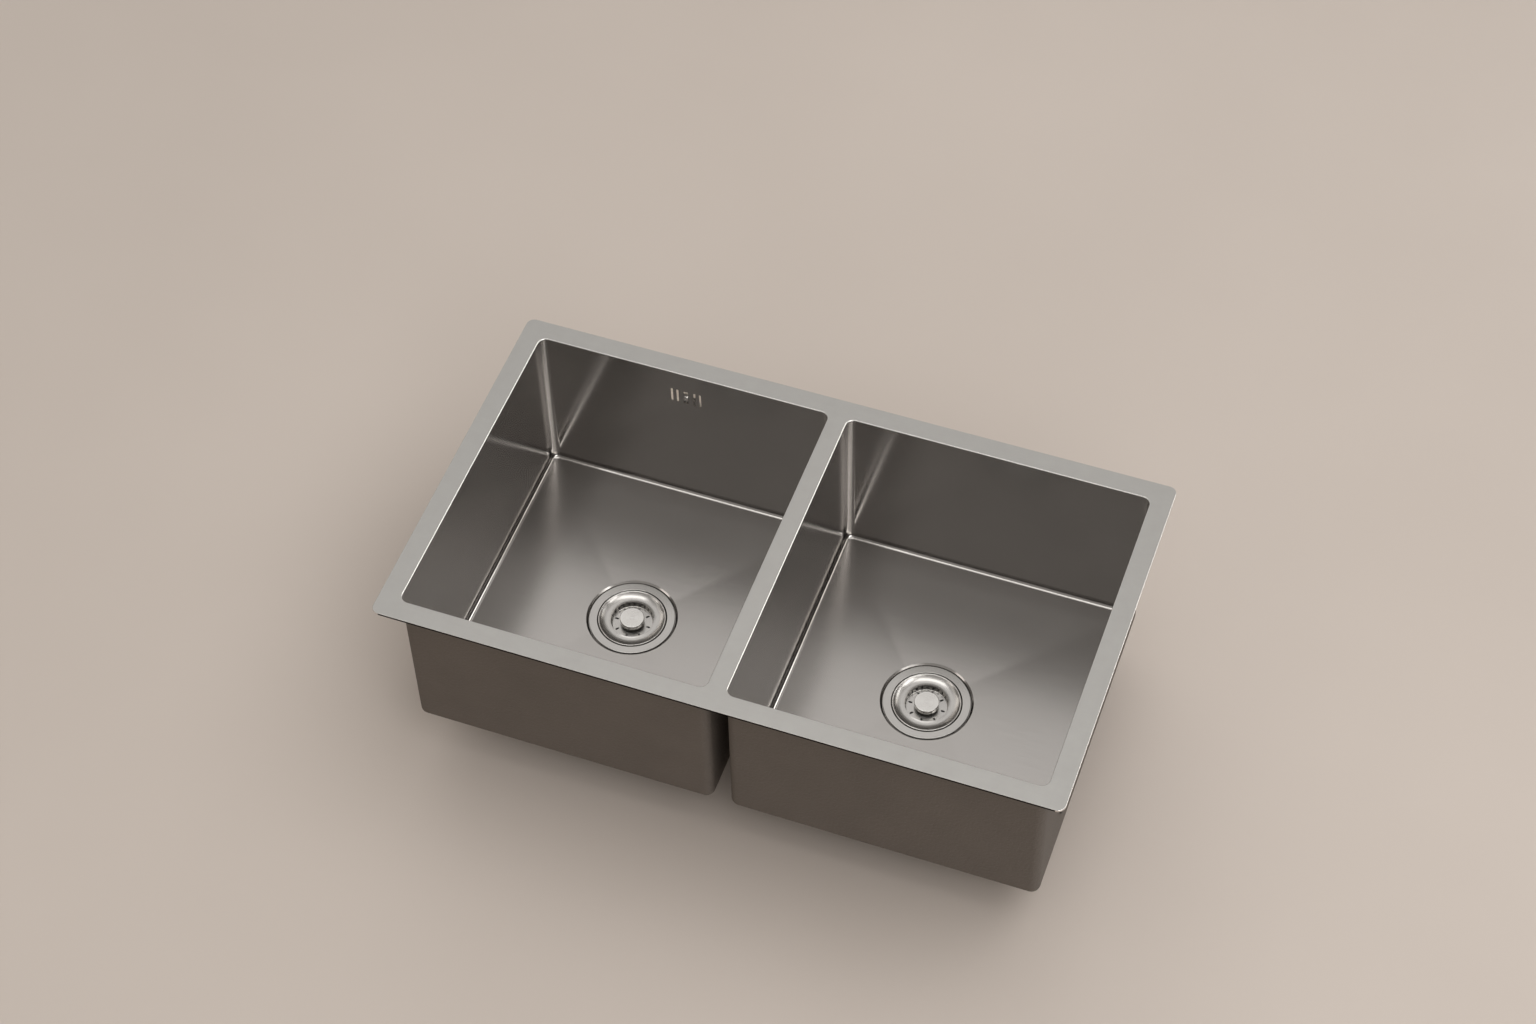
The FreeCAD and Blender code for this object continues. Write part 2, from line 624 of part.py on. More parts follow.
def add_inlet(body):
    """Threaded inlet towards the back with the spigot that the hose slides over."""
    level = -S.inlet_depth
    for name, radius, start, reach in (
            ("inlet_thread", S.thread_radius, S.chamber_radius + 1, S.inlet_reach),
            ("inlet_spigot", S.spigot_radius, S.inlet_reach - 1, S.inlet_reach + S.spigot_long)):
        sketch = sketch_on(body, "XZ_Plane", name, -start)
        draw_circle(sketch, ON_AXIS, level, radius)
        extrude(body, "Pad", sketch, reach - start, turned=True)
    document.recompute()
    before = body.Tip.Shape.Volume
    bore = sketch_on(body, "XZ_Plane", "inlet_bore", -(S.inlet_reach + S.spigot_long + 1))
    draw_circle(bore, ON_AXIS, level, S.spigot_bore)
    extrude(body, "Pocket", bore, S.inlet_reach + S.spigot_long - S.chamber_radius + 4, turned=True)
    document.recompute()
    assert body.Tip.Shape.Volume < before - 500, "the inlet's bore cut nothing"


def make_drain(side, drain_x, with_inlet):
    """All fixed pieces of one drain, from the flange down."""
    make_strainer_body(side, drain_x)
    seat = -(S.flange_thick + S.gasket_thick)
    at_drain(flat_ring(f"{side}_flange_gasket", S.drain_hole, S.flange_radius - 1,
                       seat, -S.flange_thick), drain_x)
    at_drain(flat_ring(f"{side}_under_gasket", S.cup_radius + 0.5, S.locknut_radius + 2,
                       UNDER_GASKET, UNDER_SHEET), drain_x)
    at_drain(flat_ring(f"{side}_friction_washer", S.cup_radius + 0.5, S.locknut_radius + 1,
                       UNDER_WASHER, UNDER_GASKET), drain_x)
    make_locknut(side, drain_x)
    at_drain(flat_ring(f"{side}_housing_seal", S.cup_radius - 3, S.cup_radius - 0.2,
                       -S.cup_depth - S.housing_seal_thick, -S.cup_depth), drain_x)
    make_drain_housing(side, drain_x, with_inlet)


# ---------------------------------------------------------------- basket and stopper

def make_basket_cup(side, drain_x):
    """Pressed basket: rolled rim, dished ring, short slotted wall, slotted floor."""
    sheet = S.basket_sheet
    body = turned_piece(f"{side}_basket_cup", [
        (S.basket_radius, -S.basket_bead),
        (S.basket_radius, as_size(-0.5)),
        (S.dish_mouth + S.basket_bead, as_size(0.6), S.basket_bead, "left"),
        (S.dish_mouth, as_size(0.1), as_size(1.6), "left"),
        (S.dish_foot, -S.dish_drop, S.dish_curve, "right"),
        (S.basket_foot, -S.basket_floor + 0.8),
        (S.basket_foot - 0.9, -S.basket_floor, as_size(0.9), "right"),
        (S.bush_radius, -S.basket_floor),
        (S.bush_radius, -S.basket_floor - sheet),
        (S.basket_foot - 0.6, -S.basket_floor - sheet),
        (S.basket_foot + sheet, -S.basket_floor + 0.6, as_size(1.6), "left"),
        (S.dish_foot + sheet, -S.dish_drop - 0.9),
        (S.dish_mouth + 0.2, -S.basket_bead, S.dish_curve + sheet, "left"),
    ])
    slot = sketch_on(body, "XZ_Plane", f"{side}_wall_slot")
    draw_rectangle(slot, S.basket_foot - 2, S.dish_foot + 2, -S.basket_floor + S.slot_margin,
                   -S.dish_drop - S.slot_margin)
    cut = extrude(body, "Pocket", slot, S.wall_slot, both_ways=True)
    document.recompute()
    repeat_round(body, cut, WALL_SLOTS, f"{side}_wall_slots")
    document.recompute()
    before = body.Tip.Shape.Volume
    opening = sketch_on(body, "XY_Plane", f"{side}_floor_slot", -S.basket_floor + 1)
    draw_rounded(opening, S.basket_foot - 7.5, S.basket_foot - 2.5, -(S.floor_slot / 2),
                 S.floor_slot / 2, S.floor_slot / 2 - 0.1)
    cut = extrude(body, "Pocket", opening, sheet + 2)
    document.recompute()
    repeat_round(body, cut, FLOOR_SLOTS, f"{side}_floor_slots")
    document.recompute()
    assert body.Tip.Shape.Volume < before - 30, "the basket's floor slots cut nothing"
    at_drain(body, drain_x)


def make_stopper(side, drain_x):
    """Knob, post and seal that lift through the basket's floor."""
    floor_under = -S.basket_floor - S.basket_sheet
    top = S.knob_rise
    shoulder = top - S.knob_height
    blind = top - S.post_in_knob
    foot = SEAL_FOOT - S.small_gap - S.post_below
    at_drain(turned_piece(f"{side}_guide_bush", [
        (POST_HOLE, -S.basket_floor), (POST_HOLE, floor_under - 1),
        (S.bush_flange, floor_under - 1), (S.bush_flange, floor_under),
        (S.bush_radius, floor_under), (S.bush_radius, -S.basket_floor)]), drain_x)
    at_drain(turned_piece(f"{side}_stopper_knob", [
        (S.post_radius, -S.basket_floor + S.small_gap),
        (S.neck_radius, -S.basket_floor + S.small_gap),
        (S.neck_radius, shoulder),
        (S.knob_radius - S.knob_foot_edge, shoulder),
        (S.knob_radius, shoulder + S.knob_foot_edge, S.knob_foot_edge, "left"),
        (S.knob_radius, top - S.knob_edge),
        (S.knob_radius - S.knob_edge, top, S.knob_edge, "left"),
        (ON_AXIS, top),
        (ON_AXIS, blind),
        (S.post_radius, blind)]), drain_x)
    at_drain(turned_piece(f"{side}_stopper_post", [
        (ON_AXIS, foot), (S.post_radius, foot), (S.post_radius, blind), (ON_AXIS, blind)]), drain_x)
    at_drain(turned_piece(f"{side}_stopper_seal", [
        (POST_HOLE, SEAL_FOOT), (S.seat_hole - 1, SEAL_FOOT), (S.stopper_seal, SEAL_FOOT + 0.6),
        (S.stopper_seal, SEAL_TOP - 1), (S.stopper_seal - 1.5, SEAL_TOP), (POST_HOLE, SEAL_TOP)]),
        drain_x)
    at_drain(flat_ring(f"{side}_seal_washer", POST_HOLE, S.seal_washer, SEAL_TOP, WASHER_TOP), drain_x)
    at_drain(flat_ring(f"{side}_stopper_nut", S.post_radius, S.stopper_nut, foot,
                       SEAL_FOOT - S.small_gap), drain_x)


# ---------------------------------------------------------------- overflow

def frame_sketch(body, name, inset, y_front):
    """Rectangle of the overflow frame, less an inset, on an upright plane at y_front."""
    sketch = sketch_on(body, "XZ_Plane", name, -y_front)
    half_x = S.frame_length / 2 - inset
    half_z = S.frame_height / 2 - inset
    draw_rounded(sketch, S.left_drain_x - half_x, S.left_drain_x + half_x,
                 S.overflow_z - half_z, S.overflow_z + half_z, S.frame_corner - inset / 2)
    return sketch


def make_overflow_gasket():
    body = new_body("overflow_gasket")
    outside = frame_sketch(body, "gasket_frame", as_size(0), WALL_OUTSIDE)
    extrude(body, "Pad", outside, S.frame_gasket, turned=True)
    window = frame_sketch(body, "gasket_window", S.frame_face, WALL_OUTSIDE - 1)
    extrude(body, "Pocket", window, S.frame_gasket + 2)


def make_overflow_housing():
    """Shallow box behind the slots, with the screw's post and a spout for the hose."""
    body = new_body("overflow_housing")
    outside = frame_sketch(body, "housing_outside", as_size(0), FRAME_Y)
    extrude(body, "Pad", outside, S.housing_deep, turned=True)
    inside = frame_sketch(body, "housing_inside", S.plastic_wall, FRAME_Y - 1)
    extrude(body, "Pocket", inside, S.housing_deep - S.plastic_wall + 1)
    post = sketch_on(body, "XZ_Plane", "screw_post", -FRAME_Y)
    draw_circle(post, S.left_drain_x, S.overflow_z, S.screw_boss)
    extrude(body, "Pad", post, S.housing_deep - 1, turned=True)
    for name, radius, start, finish in (
            ("spout_thread", S.thread_radius, FRAME_FOOT + S.plastic_wall / 2,
             FRAME_FOOT - S.thread_long),
            ("spout_spigot", S.spigot_radius, FRAME_FOOT - S.thread_long + 1,
             FRAME_FOOT - S.thread_long - S.spigot_long)):
        sketch = sketch_on(body, "XY_Plane", name, start)
        draw_circle(sketch, S.left_drain_x, HOSE_Y, radius)
        extrude(body, "Pad", sketch, start - finish, turned=True)
    bore = sketch_on(body, "XY_Plane", "spout_bore", FRAME_FOOT + S.plastic_wall + 1)
    draw_circle(bore, S.left_drain_x, HOSE_Y, S.spigot_bore)
    extrude(body, "Pocket", bore, S.thread_long + S.spigot_long + 6)
    pilot = sketch_on(body, "XZ_Plane", "screw_pilot", -(FRAME_Y - 1))
    draw_circle(pilot, S.left_drain_x, S.overflow_z, S.screw_radius)
    extrude(body, "Pocket", pilot, S.screw_long)


def make_overflow_screw():
    """Pan head screw through the bowl's back wall, head inside the bowl."""
    body = turned_piece("overflow_screw", [
        (ON_AXIS, -S.screw_head_high),
        (S.screw_head - 1, -S.screw_head_high),
        (S.screw_head, -S.screw_head_high + 1, as_size(1), "left"),
        (S.screw_head, ON_AXIS),
        (S.screw_radius, ON_AXIS),
        (S.screw_radius, S.screw_long),
        (ON_AXIS, S.screw_long)])
    long, wide = S.drive_length / 2, S.drive_width / 2
    for name, half_x, half_y in (("screw_drive", long, wide), ("screw_cross", wide, long)):
        arm = sketch_on(body, "XY_Plane", name, -S.screw_head_high - 1)
        draw_rectangle(arm, -half_x, half_x, -half_y, half_y)
        extrude(body, "Pocket", arm, S.drive_depth + 1, turned=True)
    body.Placement = Placement(Vector(0, 0, 0), Rotation(Vector(1, 0, 0), -90))
    place(body, S.left_drain_x, BOWL_WIDTH / 2, S.overflow_z)


def hose_down():
    """Straight length of the hose above its bend."""
    return HOSE_TOP.value - INLET_LEVEL.value - S.hose_bend.value


def hose_path(travel):
    """Point and direction on the hose's axis: down, a quarter bend, forward to the inlet."""
    bend = S.hose_bend.value
    down = hose_down()
    quarter = bend * math.pi / 2
    x, y = S.left_drain_x.value, HOSE_Y.value
    if travel <= down:
        return Vector(x, y, HOSE_TOP.value - travel), Vector(0, 0, -1)
    if travel <= down + quarter:
        turn = (travel - down) / bend
        level = INLET_LEVEL.value + bend
        point = Vector(x, y - bend * (1 - math.cos(turn)), level - bend * math.sin(turn))
        return point, Vector(0, -math.sin(turn), -math.cos(turn))
    rest = travel - down - quarter
    return Vector(x, y - bend - rest, INLET_LEVEL.value), Vector(0, -1, 0)


def hose_length():
    along = HOSE_Y.value - S.hose_bend.value - HOSE_END.value
    return hose_down() + S.hose_bend.value * math.pi / 2 + along


def hose_ring(travel, radius):
    """Circle square to the hose's axis, its own X axis always along the sink's X."""
    point, direction = hose_path(travel)
    circle = Part.Circle(point, direction, radius)
    circle.XAxis = Vector(1, 0, 0)
    return Part.Wire([circle.toShape()])


def make_overflow_hose():
    """Ribbed hose: each rib is four circles, joined by a ruled loft, round a plain bore."""
    length = hose_length()
    cuff = S.hose_cuff.value
    ribs = int((length - 2 * cuff) / S.hose_pitch.value)
    pitch = (length - 2 * cuff) / ribs
    crest, valley = S.hose_crest.value, S.hose_valley.value
    rings = [hose_ring(0, crest), hose_ring(cuff - pitch / 4, crest)]
    for rib in range(ribs):
        start = cuff + rib * pitch
        for step, radius in enumerate((valley, crest, crest, valley)):
            rings.append(hose_ring(start + (step + 0.5) * pitch / 4, radius))
    rings.append(hose_ring(length - cuff + pitch / 4, crest))
    rings.append(hose_ring(length, crest))
    outside = Part.makeLoft(rings, True, True)
    bend_start = hose_down()
    bend_end = bend_start + S.hose_bend.value * math.pi / 2
    stops = (0, bend_start, (bend_start + bend_end) / 2, bend_end, length)
    top, turn, middle, level, foot = [hose_path(travel)[0] for travel in stops]
    spine = Part.Wire([Part.LineSegment(top, turn).toShape(), Part.Arc(turn, middle, level).toShape(),
                       Part.LineSegment(level, foot).toShape()])
    bore = spine.makePipeShell([hose_ring(0, S.hose_bore.value)], True, False)
    hose = document.addObject("Part::Feature", "overflow_hose")
    hose.Shape = outside.cut(bore)
    node_labels.append("overflow_hose")
    print(f"overflow hose: {length:.1f} mm long, {ribs} ribs, pitch {pitch:.2f} mm, "
          f"groove {pitch / 4:.2f} mm")


def make_union(label, ring_label, height, level, y, turn):
    """Union nut with its seal ring, drawn about Z with height 0 at the hose's end face."""
    ring = flat_ring(ring_label, S.spigot_radius, S.hose_crest, as_size(0), S.ring_thick)
    nut = turned_piece(label, [
        (S.hose_crest + 0.2, -S.union_over),
        (S.union_radius - 0.8, -S.union_over),
        (S.union_radius, -S.union_over + 0.8),
        (S.union_radius, height),
        (S.thread_radius, height),
        (S.thread_radius, ON_AXIS),
        (S.hose_crest + 0.2, ON_AXIS)])
    grip = sketch_on(nut, "XY_Plane", f"{label}_rib", -S.union_over + 1)
    draw_rectangle(grip, S.thread_radius + 0.6, S.union_radius + 0.4, -(S.union_rib / 2),
                   S.union_rib / 2)
    rib = extrude(nut, "Pad", grip, height + S.union_over - 1)
    document.recompute()
    repeat_round(nut, rib, UNION_RIBS, f"{label}_ribs")
    for body in (ring, nut):
        body.Placement = Placement(Vector(0, 0, 0), Rotation(Vector(1, 0, 0), turn))
        place(body, S.left_drain_x, y, level)


def make_overflow():
    make_overflow_gasket()
    make_overflow_housing()
    make_overflow_screw()
    make_overflow_hose()
    height = S.ring_thick + S.union_grip
    make_union("top_union_nut", "top_hose_ring", height, HOSE_TOP, HOSE_Y, 0)
    make_union("foot_union_nut", "foot_hose_ring", height, INLET_LEVEL, HOSE_END, 90)


# ---------------------------------------------------------------- sound pads

def block_piece(label, x_low, x_high, y_low, y_high, z_low, z_high):
    body = new_body(label)
    add_block(body, f"{label}_face", x_low, x_high, y_low, y_high, z_low, z_high)
    return body


def add_block(body, name, x_low, x_high, y_low, y_high, z_low, z_high):
    sketch = sketch_on(body, "XY_Plane", name, z_low)
    draw_rectangle(sketch, x_low, x_high, y_low, y_high)
    extrude(body, "Pad", sketch, z_high - z_low)


def make_wall_pads(side_name, side):
    """Rubber pads glued to the back and the outer end of one bowl."""
    middle = BOWL_MIDDLE * side
    top = -S.pad_top
    low = top - S.pad_height
    for name, off in (("inner", -side), ("outer", side)):
        centre = middle + S.back_pad_off * off
        block_piece(f"{side_name}_back_{name}_pad", centre - S.back_pad / 2,
                    centre + S.back_pad / 2, WALL_OUTSIDE, WALL_OUTSIDE + S.pad_thick, low, top)
    face = middle + (BOWL_LENGTH / 2 + S.bowl_sheet) * side
    edges = sorted((face, face + S.pad_thick * side), key=lambda size: size.value)
    block_piece(f"{side_name}_end_pad", edges[0], edges[1], -(S.end_pad / 2), S.end_pad / 2, low, top)


def make_floor_pads(side_name, drain_x):
    """Pads under the front and back slopes of one floor, tilted to lie flat on them."""
    for name, way in (("front", -1), ("back", 1)):
        run = WALL_OUTSIDE - S.fall_half - S.drain_y * way
        tilt = math.degrees(math.atan2(S.floor_fall.value, run.value)) * way
        body = block_piece(f"{side_name}_floor_{name}_pad", -(S.floor_pad / 2), S.floor_pad / 2,
                           -(S.floor_pad_deep / 2), S.floor_pad_deep / 2, -S.pad_thick, as_size(0))
        off = S.floor_pad_off + S.floor_pad_deep / 2
        y = (WALL_OUTSIDE - off) * way
        z = -(S.bowl_depth + S.bowl_sheet) - S.floor_fall * off / run
        body.Placement = Placement(Vector(0, 0, 0), Rotation(Vector(1, 0, 0), tilt))
        place(body, drain_x, y, z)


# ---------------------------------------------------------------- the whole sink

def check_and_export():
    """Every object healthy, every piece a valid solid, one file each."""
    document.recompute()
    for item in document.Objects:
        assert not {"Invalid", "Error"} & set(item.State), f"{item.Name} failed: {item.State}"
    os.makedirs("parts", exist_ok=True)
    for label in node_labels:
        piece = document.getObject(label)
        shape = piece.Shape
        assert not shape.isNull() and shape.isValid(), f"{label} is not a valid shape"
        assert shape.Solids and shape.Volume > 0, f"{label} holds no solid"
        shape.exportStep(f"parts/{label}.step")
    print(f"{len(node_labels)} pieces written")


def make_sink():
    make_rim_plate()
    make_bowl("left_bowl", -1, S.left_drain_x, with_overflow=True)
    make_bowl("right_bowl", 1, S.right_drain_x, with_overflow=False)
    for side_name, side, drain_x in (("left", -1, S.left_drain_x), ("right", 1, S.right_drain_x)):
        make_drain(side_name, drain_x, with_inlet=side_name == "left")
        make_basket_cup(side_name, drain_x)
        make_stopper(side_name, drain_x)
        make_wall_pads(side_name, side)
        make_floor_pads(side_name, drain_x)
    make_overflow()
    check_and_export()


make_sink()
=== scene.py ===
import math

import bmesh
import bpy
import numpy as np
from mathutils import Matrix, Vector


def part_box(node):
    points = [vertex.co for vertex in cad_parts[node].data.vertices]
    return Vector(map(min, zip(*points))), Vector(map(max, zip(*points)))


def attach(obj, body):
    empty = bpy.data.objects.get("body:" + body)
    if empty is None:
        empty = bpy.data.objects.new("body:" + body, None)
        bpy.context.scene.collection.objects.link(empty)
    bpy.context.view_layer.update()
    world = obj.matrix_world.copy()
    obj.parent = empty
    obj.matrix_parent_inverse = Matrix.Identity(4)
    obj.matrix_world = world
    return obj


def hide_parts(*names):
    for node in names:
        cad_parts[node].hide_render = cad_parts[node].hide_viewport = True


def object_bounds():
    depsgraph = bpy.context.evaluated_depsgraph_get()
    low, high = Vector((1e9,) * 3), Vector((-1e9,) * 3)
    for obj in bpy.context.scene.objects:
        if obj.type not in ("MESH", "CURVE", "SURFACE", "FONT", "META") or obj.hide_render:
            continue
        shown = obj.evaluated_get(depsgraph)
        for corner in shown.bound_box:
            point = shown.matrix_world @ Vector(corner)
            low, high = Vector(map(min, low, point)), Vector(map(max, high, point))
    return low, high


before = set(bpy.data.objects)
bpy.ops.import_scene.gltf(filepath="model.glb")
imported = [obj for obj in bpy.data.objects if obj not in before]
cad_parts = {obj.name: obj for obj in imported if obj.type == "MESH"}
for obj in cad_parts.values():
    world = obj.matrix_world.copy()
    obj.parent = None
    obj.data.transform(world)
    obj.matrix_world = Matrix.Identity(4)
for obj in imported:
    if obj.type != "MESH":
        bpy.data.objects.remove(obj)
solid_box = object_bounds()
scene = bpy.context.scene

# ---- The view
# A long lens looks down on the sink from over its front right corner, so that both drains, the
# left walls and the overflow slots show. The angles are those of the line of sight.
view_place = Vector((0.7599, -2.0167, 2.8106))
view_turn = math.radians(-20.97)
view_drop = math.radians(51.81)
view_roll = math.radians(-1.46)
lens_length = 70.51


def look_along(turn, drop, roll):
    """Camera axes: a level right hand turned by the heading, the sight dropped below level, and
    both then rolled about the sight."""
    ahead = Vector((math.sin(turn) * math.cos(drop), math.cos(turn) * math.cos(drop), -math.sin(drop)))
    level = Vector((math.cos(turn), -math.sin(turn), 0.0))
    right = level * math.cos(roll) + level.cross(ahead) * math.sin(roll)
    return Matrix((right, right.cross(ahead), -ahead)).transposed()


camera_data = bpy.data.cameras.new("view")
camera_data.sensor_width = 36.0
camera_data.lens = lens_length
camera_data.clip_end = 50.0
camera = bpy.data.objects.new("view", camera_data)
scene.collection.objects.link(camera)
camera.matrix_world = Matrix.Translation(view_place) @ look_along(view_turn, view_drop, view_roll).to_4x4()
scene.camera = camera
scene.view_settings.view_transform = "Standard"

# ---- The studio
# A sheet of pale warm paper under the sink, in a pale warm room. Steel mirrors the room: a
# brighter wall behind and to the left shows in every level face, the rest of the room in the
# walls, twice mirrored, and the soft boxes overhead and on the right in every rounded edge.
room_light = (0.49, 0.47, 0.45, 1.0)
pale_wall = (1.06, 1.035, 1.01, 1.0)
wall_edge = 0.82  # cosine of the angle off the pale wall's middle at which it ends
wall_heart = 0.975  # and the one within which it is full
cool_white = (0.985, 0.985, 1.0)
warm_white = (1.0, 0.985, 0.965)
paper_gap = 0.0005  # so that the sink's foot and the paper don't share a plane
paper_reach = 7.0


def linear(colour):
    """sRGB hex to linear red, green, blue and an alpha of 1."""
    parts = [int(colour[start:start + 2], 16) / 255 for start in (1, 3, 5)]
    return tuple(p / 12.92 if p <= 0.04045 else ((p + 0.055) / 1.055) ** 2.4 for p in parts) + (1.0,)


def add(tree, kind, settings, links=None):
    """Adds a node. A setting is a property of the node where it has one of that name, and
    otherwise a socket. A link comes from a socket, or from a node's first output. A number is
    a socket's place: a Mix node has its share at 0, its two numbers at 2 and 3, its vectors at
    4 and 5 and its colours at 6 and 7, with the results at 0, 1 and 2."""
    node = tree.nodes.new("ShaderNode" + kind)
    for key, value in settings.items():
        if isinstance(key, str) and hasattr(node, key):
            setattr(node, key, value)
        else:
            node.inputs[key].default_value = value
    for key, source in (links or {}).items():
        socket = source if isinstance(source, bpy.types.NodeSocket) else source.outputs[0]
        tree.links.new(socket, node.inputs[key])
    return node


def start_material(title):
    """A new material, with its node tree, its surface shader and its texture coordinates."""
    material = bpy.data.materials.new(title)
    material.use_nodes = True
    tree = material.node_tree
    return material, tree, tree.nodes["Principled BSDF"], add(tree, "TexCoord", {})


def tone(tree, share, dark, light):
    """Colour that runs from one sRGB hex tone to the other while the share goes from 0 to 1."""
    return add(tree, "Mix", {"data_type": "RGBA", 6: linear(dark), 7: linear(light)}, {0: share}).outputs[2]


def amount(tree, share, low, high):
    """Number that runs from low to high while the share goes from 0 to 1."""
    return add(tree, "MapRange", {"To Min": low, "To Max": high}, {"Value": share}).outputs[0]


def towards(turn, height):
    """Unit direction: turn degrees to the left of +Y, and height degrees up."""
    turn, height = math.radians(turn), math.radians(height)
    return (-math.sin(turn) * math.cos(height), math.cos(turn) * math.cos(height), math.sin(height))


room = bpy.data.worlds.new("studio_room")
scene.world = room
room.use_nodes = True
tree = room.node_tree
tree.nodes.clear()
place = add(tree, "TexCoord", {})
nearness = add(tree, "VectorMath", {"operation": "DOT_PRODUCT", 1: towards(24, 50)},
               {0: place.outputs["Generated"]})
share = add(tree, "MapRange", {"interpolation_type": "SMOOTHSTEP", "From Min": wall_edge,
                               "From Max": wall_heart}, {"Value": nearness.outputs["Value"]})
light = add(tree, "Mix", {"data_type": "RGBA", 6: room_light, 7: pale_wall}, {0: share})
glow = add(tree, "Background", {"Strength": 1.0}, {"Color": light.outputs[2]})
add(tree, "OutputWorld", {}, {"Surface": glow})

# title, direction, distance, level side and rising side in metres, radiance, and whether it
# lights dull surfaces only
lights = (("paper_light", towards(-75, 70), 4.0, 3.2, 3.2, 1.95, True),
          ("front_light", towards(-140, 50), 5.0, 2.4, 2.4, 2.4, True),
          ("top_box", towards(90, 88), 5.0, 1.9, 3.8, 2.7, False),
          ("side_box", towards(-58, 28), 5.0, 3.4, 2.8, 3.6, False),
          ("near_side_box", towards(-130, 29), 5.0, 3.0, 2.8, 4.8, False),
          ("corner_box", towards(-88, 52), 5.0, 2.2, 1.7, 3.2, False))
for title, way, distance, wide, high, radiance, dull_only in lights:
    lamp = bpy.data.lights.new(title, "AREA")
    lamp.shape = "RECTANGLE"
    lamp.size = wide
    lamp.size_y = high
    lamp.energy = radiance * math.pi * wide * high
    lamp.color = cool_white if dull_only else warm_white
    holder = bpy.data.objects.new(title, lamp)
    scene.collection.objects.link(holder)
    out = Vector(way)
    level = Vector((0.0, 0.0, 1.0)).cross(out).normalized()
    turn = Matrix((level, out.cross(level), out)).transposed().to_4x4()
    holder.matrix_world = Matrix.Translation(out * distance) @ turn
    holder.visible_camera = False
    holder.visible_glossy = not dull_only
    holder.visible_diffuse = dull_only

paper_level = solid_box[0][2] - paper_gap
paper_mesh = bpy.data.meshes.new("paper_floor")
paper_mesh.from_pydata([(x * paper_reach, y * paper_reach, paper_level)
                        for x, y in ((-1, -1), (1, -1), (1, 1), (-1, 1))], [], [(0, 1, 2, 3)])
paper_floor = bpy.data.objects.new("paper_floor", paper_mesh)
scene.collection.objects.link(paper_floor)
paper, tree, skin, spot = start_material("seamless_paper")
skin.inputs["Roughness"].default_value = 0.9
cloud = add(tree, "TexNoise", {"Scale": 1.6, "Detail": 3.0}, {"Vector": spot.outputs["Object"]})
tree.links.new(tone(tree, cloud, "#c4b9af", "#cfc4ba"), skin.inputs["Base Color"])
paper_mesh.materials.append(paper)

# ---- The rim plate
# A flat stainless plate round both bowls. Its top is ground with a fine belt and then blasted
# lightly, which gives an even satin face with a faint cloudiness and no clear reflections. The
# rounded edges are polished, smoother than the face, and are also painted much lighter than it,
# a painted highlight that shows each as a thin bright line.
rim_grain = 0.0012  # real belt marks are 0.1 mm, drawn wider so that they show
rim_grain_long = 0.05
edge_rise = 0.93  # a normal's height on the rounded edge
face_rise = 0.995  # and where the level face begins
edge_rough = 0.26


def finish_nodes(material, *names):
    """Gives construction pieces their finish."""
    for name in names:
        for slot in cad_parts[name].material_slots:
            slot.material = material


satin_steel, tree, skin, spot = start_material("satin_stainless_steel")
skin.inputs["Metallic"].default_value = 1.0
stretch = add(tree, "Mapping", {"Scale": (1 / rim_grain_long, 1 / rim_grain, 1 / rim_grain)},
              {"Vector": spot.outputs["Object"]})
grain = add(tree, "TexNoise", {"Scale": 1.0, "Detail": 2.0}, {"Vector": stretch})
cloud = add(tree, "TexNoise", {"Scale": 45.0, "Detail": 4.0, "Roughness": 0.6},
            {"Vector": spot.outputs["Object"]})
both = add(tree, "Mix", {0: 0.35}, {2: cloud, 3: grain})
facing = add(tree, "SeparateXYZ", {}, {0: spot.outputs["Normal"]})
level = add(tree, "MapRange", {"From Min": edge_rise, "From Max": face_rise},
            {"Value": facing.outputs["Z"]})
satin = tone(tree, both, "#9d9b98", "#abaaa7")
# painted highlight: the rounded edges get a much lighter colour than the satin face
colour = add(tree, "Mix", {"data_type": "RGBA", 6: linear("#dbd9d6")}, {0: level, 7: satin})
tree.links.new(colour.outputs[2], skin.inputs["Base Color"])
rough = add(tree, "Mix", {2: edge_rough}, {0: level, 3: amount(tree, both, 0.36, 0.44)})
tree.links.new(rough.outputs[0], skin.inputs["Roughness"])
skin.inputs["Anisotropic"].default_value = 0.3
across = add(tree, "CombineXYZ", {"Y": 1.0})
tree.links.new(across.outputs[0], skin.inputs["Tangent"])
finish_nodes(satin_steel, "rim_plate")

# ---- The bowls
# Each bowl is pressed from 1.2 mm sheet. The inside is brushed, level on the walls and along
# the sink on the floor, and the outside is sprayed with a thick warm grey undercoat.
grain_long = 0.045
grain_wide = 0.0030  # real brush lines are 0.1 mm, drawn wider so that they show
facet_rise = 0.995  # a normal's height on the floor's facets, at the least
coat_rough = 0.85


def centre(name):
    """Middle of a construction piece's box."""
    low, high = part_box(name)
    return tuple((least + most) / 2 for least, most in zip(low, high))


